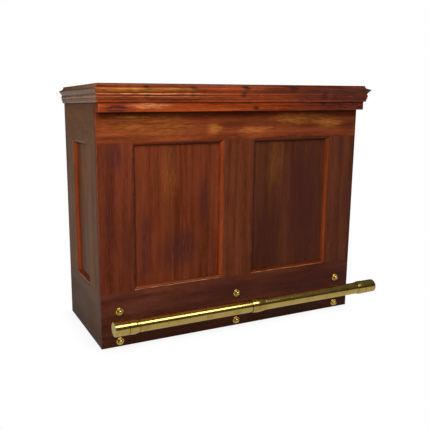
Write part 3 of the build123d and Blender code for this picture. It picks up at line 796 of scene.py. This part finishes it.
class BAR_OT_panel_mouldings(bpy.types.Operator):
    """Mouldings planted round each panel, mitred at the corners"""

    bl_idname = "bar.panel_mouldings"
    bl_label = "Panel Mouldings"

    def execute(self, context):
        colours = context.scene.bar_colours
        openings = {
            "front_left": (X, -Y, 0.95, 51.0),
            "front_right": (X, -Y, 0.80, 53.0),
            "left": (Y, -X, 0.80, 55.0),
            "right": (Y, X, 0.80, 57.0),
        }
        for name, (across, out, shade, seed) in openings.items():
            upright, level = (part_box(f"{name}_{way}_beads") for way in ("upright", "level"))
            low = Vector(map(min, upright[0], level[0]))
            high = Vector(map(max, upright[1], level[1]))
            back = Vector([low[i] if out[i] > 0 else high[i] for i in range(3)])
            span = abs((high - low).dot(across))
            tall = high.z - low.z
            left = across * low.dot(across) + out * back.dot(out) + Z * low.z
            right = left + across * span
            runs = {
                "upright": [(left, Z, tall), (right + Z * tall, -Z, tall)],
                "level": [(right, -across, span), (left + Z * tall, across, span)],
            }
            if out.cross(Z).dot(across) < 0:
                runs = {
                    "upright": [(left + Z * tall, -Z, tall), (right, Z, tall)],
                    "level": [(left, across, span), (right + Z * tall, -across, span)],
                }
            # painted highlight: a pale line along the quirk of each level bead
            edge = left + across * span / 2 + Z * BEAD_QUIRK * MM
            highlighted = Spot(edge, across * span + Y * SPOT_DEPTH + Z * 2.4 * MM, colours.pale, 0.8)
            corner = BEAD_W * 5 * MM
            shadow = Spot(left + Z * tall / 2, (corner, corner, 2 * tall), colours.burnt_and_shade, 0.8)
            # painted shade: the level beads at half the uprights' tone; the right opening's uprights, darker
            # than the left's, are partly painted shade where the light falls off
            looks = {
                "upright": ("Z", shade, shadow),
                "level": ("XY"[across is Y], 0.5, highlighted),
            }
            for way, strips in runs.items():
                grain, by, spot = looks[way]
                stain = toned(colours.moulding, by)
                finish = stained_wood(
                    f"{name}_{way}_stain", grain, stain, seed, 0.3, 12 * MM, 0.25, 0.3, spots=[spot]
                )
                meshes = []
                for start, along, length in strips:
                    axes = (out.cross(along), out, along)
                    meshes.append(run_moulding(bead_section(), start, axes, length, (1.0, 1.0)))
                node = f"{name}_{way}_beads"
                piece(f"{node}_moulding", joined(meshes), finish, "bead_moulding", node)
        return {"FINISHED"}


class BAR_OT_crown(bpy.types.Operator):
    """Crown moulding round the front and the two sides of the top"""

    bl_idname = "bar.crown"
    bl_label = "Crown"

    def execute(self, context):
        colours = context.scene.bar_colours
        burnt_and_shade, gold_and_highlight, pale = colours.burnt_and_shade, colours.gold_and_highlight, colours.pale
        z = CROWN_Z
        knots_and_painted_shading = spots_on(FRIEZE_Y, [
            (-0.445, z + 0.055, 0.024, 0.014, burnt_and_shade, 0.90),
            (-0.440, z + 0.028, 0.022, 0.012, burnt_and_shade, 0.90),
            (-0.245, z + 0.055, 0.024, 0.015, burnt_and_shade, 0.90),
            (-0.250, z + 0.028, 0.020, 0.012, burnt_and_shade, 0.90),
            (-0.006, z + 0.056, 0.026, 0.018, burnt_and_shade, 1.00),
            (-0.010, z + 0.030, 0.022, 0.014, burnt_and_shade, 1.00),
            (0.229, z + 0.055, 0.032, 0.020, burnt_and_shade, 1.00),
            (0.402, z + 0.030, 0.024, 0.022, burnt_and_shade, 0.90),
            # painted highlights at the left, where the light falls: a gold band on the nose and two pale
            # lines below it
            (-0.450, z + 0.047, 0.320, 0.010, gold_and_highlight, 0.80),
            (-0.400, z + 0.032, 0.330, 0.0024, pale, 1.00),
            (-0.400, z + 0.021, 0.320, 0.0026, pale, 0.50),
            # partly painted shade: the crown's right half darker, where the light falls off
            (0.560, z + 0.035, 0.600, 0.120, colours.plum_and_shade, 0.70),
            # painted shade: dark lines along the crown's creases and its top edge
            (0.0, z + 0.0125, 4.0, 0.0022, burnt_and_shade, 0.85),
            (0.0, z + 0.0260, 4.0, 0.0022, burnt_and_shade, 0.80),
            (0.0, z + 0.0370, 4.0, 0.0020, burnt_and_shade, 0.60),
            (0.0, z + 0.0680, 4.0, 0.0060, burnt_and_shade, 0.85),
        ])
        section = crown_section((BAR_TOP_Z - CROWN_Z) / MM)[::-1]
        width, depth = 2 * SIDE_X, BACK_Y - FRIEZE_Y
        # the side crowns take the side stain, with its painted sheen, made lighter
        front, side = toned(colours.pine, 0.95), toned(colours.side, 1.4)
        runs = {
            "crown_front": (-SIDE_X, X, -Y, width, (-1.0, -1.0), "X", front, 23.0, 0.2, knots_and_painted_shading),
            "crown_left": (-SIDE_X, Y, -X, depth, (-1.0, 0.0), "Y", side, 25.0, 0.1, []),
            "crown_right": (SIDE_X, Y, X, depth, (-1.0, 0.0), "Y", side, 27.0, 0.1, []),
        }
        for node, (x, along, out, length, mitres, grain, stain, seed, coat, spots) in runs.items():
            start = Vector((x, FRIEZE_Y, CROWN_Z))
            mesh = run_moulding(section, start, (out, Z, along), length, mitres)
            finish = stained_wood(f"{node}_stain", grain, stain, seed, 0.5, 14 * MM, 0.2, coat, spots=spots)
            piece(f"{node}_moulding", mesh, finish, "crown_pine", node)
        return {"FINISHED"}


class BAR_OT_top(bpy.types.Operator):
    """Bar top, with the battens that it is screwed to"""

    bl_idname = "bar.top"
    bl_label = "Top"

    def execute(self, context):
        colours = context.scene.bar_colours
        stain = toned(colours.mahogany, 0.85)
        finish = stained_wood("top_mahogany", "X", stain, 60.0, 0.4, 45 * MM, 0.24, 0.5)
        board("top_board", finish, "bar_top")
        softwood = planed_softwood("top_batten_softwood", "X", colours.softwood, 61.0)
        board("front_top_battens", softwood, "batten_softwood")
        softwood = planed_softwood("side_batten_softwood", "Y", colours.softwood, 62.0)
        board("side_top_battens", softwood, "batten_softwood")
        return {"FINISHED"}


class BAR_OT_inside(bpy.types.Operator):
    """Shelves, divider, floor and framing on the barkeeper's side"""

    bl_idname = "bar.inside"
    bl_label = "Inside"

    def execute(self, context):
        colours = context.scene.bar_colours
        stained = {
            "floor_board": "X", "centre_divider": "Z", "left_shelf": "X", "right_shelf": "X",
            "rear_top_rail": "X", "rear_plinth": "X", "centre_bearer": "Y",
        }
        plain = {"corner_battens": "Z", "shelf_cleats": "Y", "floor_cleats": "Y"}
        for number, (node, grain) in enumerate(stained.items()):
            finish = stained_wood(
                f"{node}_timber", grain, colours.timber, 70.0 + number, 0.3, 35 * MM, 0.45, 0.1
            )
            board(node, finish, "inner_timber")
        for number, (node, grain) in enumerate(plain.items()):
            finish = planed_softwood(f"{node}_softwood", grain, colours.softwood, 80.0 + number)
            board(node, finish, "batten_softwood")
        return {"FINISHED"}


# --------------------------------------------------------- metalwork operators


STUD_R = 4.0  # of every stud, and of the holes that take one


def brass_finish(name="polished_brass", seams=()):
    """Polished brass, made once for each name."""
    colour = bpy.context.scene.bar_colours.brass
    dull = toned(colour, 0.62, 0.46, 0.30)
    return bpy.data.materials.get(name) or polished_metal(name, colour, dull, 0.15, 0.003, seams)


def zinc_finish():
    """Bright zinc plate, made once."""
    colour = bpy.context.scene.bar_colours.zinc
    dull = toned(colour, 0.6)
    return bpy.data.materials.get("bright_zinc") or polished_metal("bright_zinc", colour, dull, 0.28, 0.01)


class BAR_OT_foot_rail(bpy.types.Operator):
    """Brass foot rail: the tube, its two closed end caps and its three brackets"""

    bl_idname = "bar.foot_rail"
    bl_label = "Foot Rail"

    def execute(self, context):
        sizes = context.scene.bar_sizes
        end_ring, middle_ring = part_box("left_bracket"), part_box("middle_bracket")
        brass = brass_finish("rail_brass", (-end_ring[0].x, -end_ring[1].x, middle_ring[1].x))
        tube = through_tree(
            bpy.data.meshes.new("rail"), rail_tree(), Length=RAIL_HIGH.x - RAIL_LOW.x, Radius=RAIL_R,
            Wall=sizes.rail_wall, Steps=sizes.turned_steps, Middle=RAIL_MIDDLE, Finish=brass,
        )
        piece("foot_rail_pipe", smooth_by_angle(face_outwards(tube)), brass, "brass", "foot_rail_tube")
        for side, way in (("left", -X), ("right", X)):
            low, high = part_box(f"{side}_end_cap")
            outer, bore = (high.z - low.z) / 2 / MM, RAIL_R / MM + 0.1
            length, soft = (high.x - low.x) / MM, sizes.metal_edge / MM
            end_t, rim = 4.0, 2.2
            outline = [
                (bore, 0), *arc((bore + soft, soft), soft, 180, 270, 3),
                *arc((outer - soft, soft), soft, 270, 360, 3),
                *arc((outer - rim, length - rim), rim, 0, 90, 8),
                (outer * 0.55, length), (0, length), (0, length - end_t), (bore, length - end_t),
            ]
            mouth = Vector((way.x * (SIDE_X - length * MM), RAIL_MIDDLE.y, RAIL_MIDDLE.z))
            cap = laid(turned(outline, sizes.turned_steps), way, mouth)
            piece(f"{side}_rail_end", cap, brass, "brass", f"{side}_end_cap")
        for side in ("left", "middle", "right"):
            mesh = smooth_by_angle(face_outwards(welded(f"{side}_bracket")), radians(12))
            piece(f"{side}_rail_holder", mesh, brass, "brass", f"{side}_bracket")
        return {"FINISHED"}


class BAR_OT_bosses(bpy.types.Operator):
    """Brass roses and domed nuts on the bottom rail"""

    bl_idname = "bar.bosses"
    bl_label = "Bosses"

    def execute(self, context):
        brass = brass_finish()
        fixings("bracket_rose_plates", "bracket_roses", rose_plate, -Y, brass, "brass")
        fixings("bracket_dome_nuts", "domed_nuts", domed_nut, -Y, brass, "brass")
        return {"FINISHED"}


class BAR_OT_fixings(bpy.types.Operator):
    """Studs, nuts, straps and grub screws of the brackets, and the wood screws"""

    bl_idname = "bar.fixings"
    bl_label = "Fixings"

    def execute(self, context):
        zinc, brass = zinc_finish(), brass_finish()
        for node in ("arm_studs", "boss_studs"):
            fixings(f"{node}_threaded", node, stud, Y, zinc, "zinc_steel")
        board("backing_straps", zinc, "zinc_steel", "plates")
        fixings("strap_hex_nuts", "strap_nuts", hexagon_nut, Y, zinc, "zinc_steel")
        fixings("rail_grub_screws", "grub_screws", socket_screw, -Z, brass, "brass", turn=pi)
        for node, way in (("batten_screws", Z), ("cleat_screws", -Z)):
            fixings(f"{node}_slotted", node, wood_screw, way, zinc, "zinc_steel", turn=pi)
        return {"FINISHED"}


# ------------------------------- fixings, drawn to the size of their CAD solids


def fixings(name, node, draw, way, finish, slot, turn=0.0):
    """A piece of all the fixings of a CAD node: copies of one shape, drawn from its foot the given way."""
    places, size = solids_of(node)
    feet = [place - way * abs(size.dot(way)) / 2 for place in places]
    mesh = in_place(laid(draw(size), way), feet, finish, turn)
    piece(name, smooth_by_angle(mesh), finish, slot, node)


def rose_plate(size):
    """A round plate with a rounded rim and a groove turned in its face."""
    radius, thick = size.x / 2 / MM, size.y / MM
    rim = arc((radius - 3.0, thick - 3.0), 3.0, 0, 80, 8)
    groove = [(12.4, thick), (12.0, thick - 0.5), (11.6, thick - 0.5), (11.2, thick)]
    outline = [(STUD_R, 0), (radius - 0.4, 0), (radius, 0.5), *rim, *groove, (STUD_R, thick)]
    return turned(outline, bpy.context.scene.bar_sizes.fixing_steps)


def domed_nut(size):
    """A blind nut: a straight skirt, a fine step and a dome."""
    radius, bore = size.x / 2 / MM, 10.0
    skirt = size.y / MM - radius
    outline = [
        (STUD_R, 0), (radius - 0.5, 0), (radius, 0.5), (radius, skirt - 0.6), (radius - 0.3, skirt - 0.3),
        (radius - 0.1, skirt + 0.2), *arc((0, skirt), radius, 4, 90, 18), (0, bore), (STUD_R, bore),
    ]
    return turned(outline, bpy.context.scene.bar_sizes.fixing_steps)


def stud(size):
    """A stud with a chamfer at each end and a thread's ridges along it."""
    length, radius = size.y / MM, size.x / 2 / MM
    pitch, depth, chamfer = 1.25, 0.35, 0.8
    sides = [(0, 0), (radius - chamfer, 0)]
    for i in range(int((length - 2) / pitch)):
        sides += [(radius - depth, 1 + i * pitch), (radius, 1 + (i + 0.5) * pitch)]
    end = [(radius - depth, length - 1), (radius - chamfer, length), (0, length)]
    return turned(sides + end, bpy.context.scene.bar_sizes.fixing_steps // 2)


def prism(outline, low, high):
    """An outline in millimetres raised from one height to another, with its bottom and top."""
    count = len(outline)
    verts = [(x * MM, y * MM, z * MM) for z in (low, high) for x, y in outline]
    sides = [(i, (i + 1) % count, count + (i + 1) % count, count + i) for i in range(count)]
    mesh = bpy.data.meshes.new("prism")
    mesh.from_pydata(verts, [], [range(count)[::-1], range(count, 2 * count), *sides])
    return mesh


def hexagon(corner, turn=0.0):
    """Corners of a hexagon, which lie on a circle of the given radius."""
    return [(corner * cos(pi / 3 * i + turn), corner * sin(pi / 3 * i + turn)) for i in range(6)]


def combined(mesh, tool, operation):
    """A mesh with a tool's shape cut out of it, or with only what lies inside the tool."""
    work, cutter = stand_in(mesh, "work"), stand_in(tool, "cutter")
    boolean = work.modifiers.new("Shaped", "BOOLEAN")
    boolean.object, boolean.operation, boolean.solver = cutter, operation, "EXACT"
    made = plain_mesh(work)
    bpy.data.objects.remove(cutter)
    return made


def hexagon_nut(size):
    """A nut with the rounded corners of a real one: a hexagonal bar turned to a cone at each end."""
    flat, height, cone = size.z / 2 / MM, size.y / MM, 0.9
    corner = flat / cos(pi / 6)
    side = [(flat, 0), (corner, cone), (corner, height - cone), (flat, height)]
    outline = [(STUD_R, 0), *side, (STUD_R, height)]
    return combined(turned(outline, 48), prism(hexagon(corner, pi / 6), -1, height + 1), "INTERSECT")


def socket_screw(size):
    """A plain grub screw. The cut for its socket leaves no hollow, only a hexagon on the end drawn first."""
    radius, length = size.x / 2 / MM, size.z / MM
    socket_r, socket_depth = 1.25, 2.0
    outline = [(0, 0), (radius - 0.4, 0), (radius, 0.5), (radius, length - 0.6), (radius - 0.6, length)]
    socket = prism(hexagon(socket_r)[::-1], -1, socket_depth)
    return combined(turned([*outline, (0, length)], 24), socket, "DIFFERENCE")


def wood_screw(size):
    """A countersunk slotted screw, drawn from its flush head to its point."""
    length = size.z / MM
    pitch, root, crest, tip = 2.0, 1.5, 2.2, 6.0
    head_r, head_h, shank_r, shank = 4.5, 2.9, 2.0, length * 0.35
    outline = [(0, 0), (head_r - 0.1, 0), (head_r, 0.25), (crest, head_h), (shank_r, 4.0), (shank_r, shank)]
    height = shank
    while height + pitch < length - tip:
        outline += [(root, height + pitch * 0.3), (crest, height + pitch * 0.65), (root, height + pitch)]
        height += pitch
    outline += [(root - 0.1, length - tip), (0, length)]
    slot = prism([(-6, -0.5), (6, -0.5), (6, 0.5), (-6, 0.5)], -1, 1.3)
    return combined(turned(outline, 24), slot, "DIFFERENCE")


# ------------------------------------------------------------------------ stage


class BAR_OT_stage(bpy.types.Operator):
    """Plain pale floor, soft studio light and the camera"""

    bl_idname = "bar.stage"
    bl_label = "Stage"

    def execute(self, context):
        scene, stage = context.scene, context.scene.bar_stage
        scene.view_settings.view_transform = "Standard"
        make_floor(stage.floor)
        make_surroundings(scene, stage)
        rail = (RAIL_MIDDLE.y, RAIL_MIDDLE.z)
        lights = {
            "key": ((-1.9, -2.1, 1.75), (-0.9, FRONT_Y, 0.7), (0.9, 1.0), stage.key_power),
            "top_strip": ((-0.25, -1.65, 2.55), (-0.25, *rail), (3.3, 0.62), stage.top_power),
            "right_side": ((3.2, 1.0, 1.5), (SIDE_X, 0.1, 0.55), (1.2, 1.2), stage.side_power),
            "rear": ((1.9, 3.2, 1.4), (0, BACK_Y, 0.5), (1.4, 1.2), stage.rear_power),
            "rail_glow": ((-0.3, -1.75, 2.45), (-0.3, *rail), (3.6, 1.1), stage.glow_power),
        }
        for name, (place, target, size, power) in lights.items():
            lamp = area_light(name, place, target, size, power)
            lamp.visible_glossy = name == "rail_glow"
            lamp.visible_diffuse = name != "rail_glow"
        make_camera(scene)
        return {"FINISHED"}


def make_floor(colour):
    """A plain floor: white to the eye with a faint shadow at the foot of the bar, dim to everything else."""
    reach = 30.0
    mesh = bpy.data.meshes.new("floor")
    corners = [(-reach, -reach, 0), (reach, -reach, 0), (reach, reach, 0), (-reach, reach, 0)]
    mesh.from_pydata(corners, [], [range(4)])
    material, graph = new_material("pale_floor")
    path = graph.node("ShaderNodeLightPath").outputs
    contact = graph.out("ShaderNodeAmbientOcclusion", {"Distance": 0.10}, samples=8)
    shade = graph.times(opaque(colour)[:3], graph.scaled(contact, 0.0, 1.0, 0.82, 1.0))
    seen = graph.out("ShaderNodeEmission", {"Color": shade, "Strength": 1.0})
    matt = graph.out("ShaderNodeBsdfDiffuse", {"Color": opaque(colour, 0.3)})
    mirrored = graph.out("ShaderNodeEmission", {"Color": opaque(colour), "Strength": 0.42})
    unseen = graph.out("ShaderNodeMixShader", {0: path["Is Glossy Ray"], 1: matt, 2: mirrored})
    surface = graph.out("ShaderNodeMixShader", {0: path["Is Camera Ray"], 1: unseen, 2: seen})
    graph.node("ShaderNodeOutputMaterial", {"Surface": surface})
    mesh.materials.append(material)
    floor = stand_in(mesh, "floor")


def make_surroundings(scene, stage):
    """White to the eye; to the light and in the gloss, bright overhead and dim near the horizon."""
    scene.world = bpy.data.worlds.new("studio")
    scene.world.use_nodes = True
    graph = Graph(scene.world.node_tree)
    way = graph.node("ShaderNodeTexCoord").outputs["Generated"]
    height = graph.axis(way, "Z")
    glow = graph.scaled(height, -0.1, 0.9, stage.sky * 0.45, stage.sky * 1.7)
    seen = graph.node("ShaderNodeLightPath").outputs["Is Camera Ray"]
    soft = graph.out("ShaderNodeBackground", {"Color": (1.0, 0.98, 0.95, 1.0), "Strength": glow})
    white = graph.out("ShaderNodeBackground", {"Color": (1.0, 1.0, 1.0, 1.0), "Strength": 1.0})
    surface = graph.out("ShaderNodeMixShader", {0: seen, 1: soft, 2: white})
    graph.node("ShaderNodeOutputWorld", {"Surface": surface})


def area_light(name, place, target, size, power):
    """A rectangular light at a place, turned to a target."""
    light = bpy.data.lights.new(name, "AREA")
    light.shape, light.size, light.size_y, light.energy = "RECTANGLE", size[0], size[1], power
    lamp = bpy.data.objects.new(name, light)
    lamp.location = place
    lamp.rotation_euler = (Vector(target) - Vector(place)).to_track_quat("-Z", "Y").to_euler()
    bpy.context.scene.collection.objects.link(lamp)
    return lamp


CAMERA_PLACE = Vector((-1.2396, -2.1874, 0.982))
CAMERA_YAW, CAMERA_PITCH, CAMERA_ROLL = radians(23.707), radians(10.802), radians(-0.307)
CAMERA_LENS, CAMERA_SHIFT = 46.06, (0.1135, -0.0096)


def make_camera(scene):
    """The camera, a little to the left of the bar and just under its top."""
    camera = bpy.data.cameras.new("camera")
    camera.lens, camera.sensor_width = CAMERA_LENS, 36.0
    camera.shift_x, camera.shift_y = CAMERA_SHIFT
    level = Vector((sin(CAMERA_YAW), cos(CAMERA_YAW), 0.0))
    ahead = level * cos(CAMERA_PITCH) - Z * sin(CAMERA_PITCH)
    right = Vector((cos(CAMERA_YAW), -sin(CAMERA_YAW), 0.0))
    up = right.cross(ahead)
    rolled_right = right * cos(CAMERA_ROLL) + up * sin(CAMERA_ROLL)
    rolled_up = up * cos(CAMERA_ROLL) - right * sin(CAMERA_ROLL)
    stand = bpy.data.objects.new("camera", camera)
    turned_to = Matrix((rolled_right, rolled_up, -ahead)).transposed().to_4x4()
    stand.matrix_world = Matrix.Translation(CAMERA_PLACE) @ turned_to
    scene.collection.objects.link(stand)
    scene.camera = stand


# --------------------------------------------------------------- panel and main

STEPS = (
    BAR_OT_stage, BAR_OT_front_frame, BAR_OT_sides, BAR_OT_panels, BAR_OT_panel_mouldings, BAR_OT_crown,
    BAR_OT_top, BAR_OT_inside, BAR_OT_foot_rail, BAR_OT_bosses, BAR_OT_fixings,
)


class BAR_PT_counter(bpy.types.Panel):
    """Settings and steps of the bar counter"""

    bl_idname = "BAR_PT_counter"
    bl_label = "Bar Counter"
    bl_space_type = "VIEW_3D"
    bl_region_type = "UI"
    bl_category = "Bar Counter"

    def draw(self, context):
        for group in (context.scene.bar_sizes, context.scene.bar_colours, context.scene.bar_stage):
            box = self.layout.box()
            for name in group.__annotations__:
                box.prop(group, name)
        for step in STEPS:
            self.layout.operator(step.bl_idname)


CLASSES = (BarSizes, BarColours, BarStage, *STEPS, BAR_PT_counter)


def register():
    """Add the settings, the steps and the panel."""
    for cls in CLASSES:
        bpy.utils.register_class(cls)
    bpy.types.Scene.bar_sizes = PointerProperty(type=BarSizes)
    bpy.types.Scene.bar_colours = PointerProperty(type=BarColours)
    bpy.types.Scene.bar_stage = PointerProperty(type=BarStage)


def unregister():
    """Take them away again."""
    del bpy.types.Scene.bar_stage, bpy.types.Scene.bar_colours, bpy.types.Scene.bar_sizes
    for cls in reversed(CLASSES):
        bpy.utils.unregister_class(cls)


def main():
    """Make the whole bar."""
    register()
    for step in STEPS:
        group, name = step.bl_idname.split(".")
        getattr(getattr(bpy.ops, group), name)()


if __name__ == "__main__":
    main()
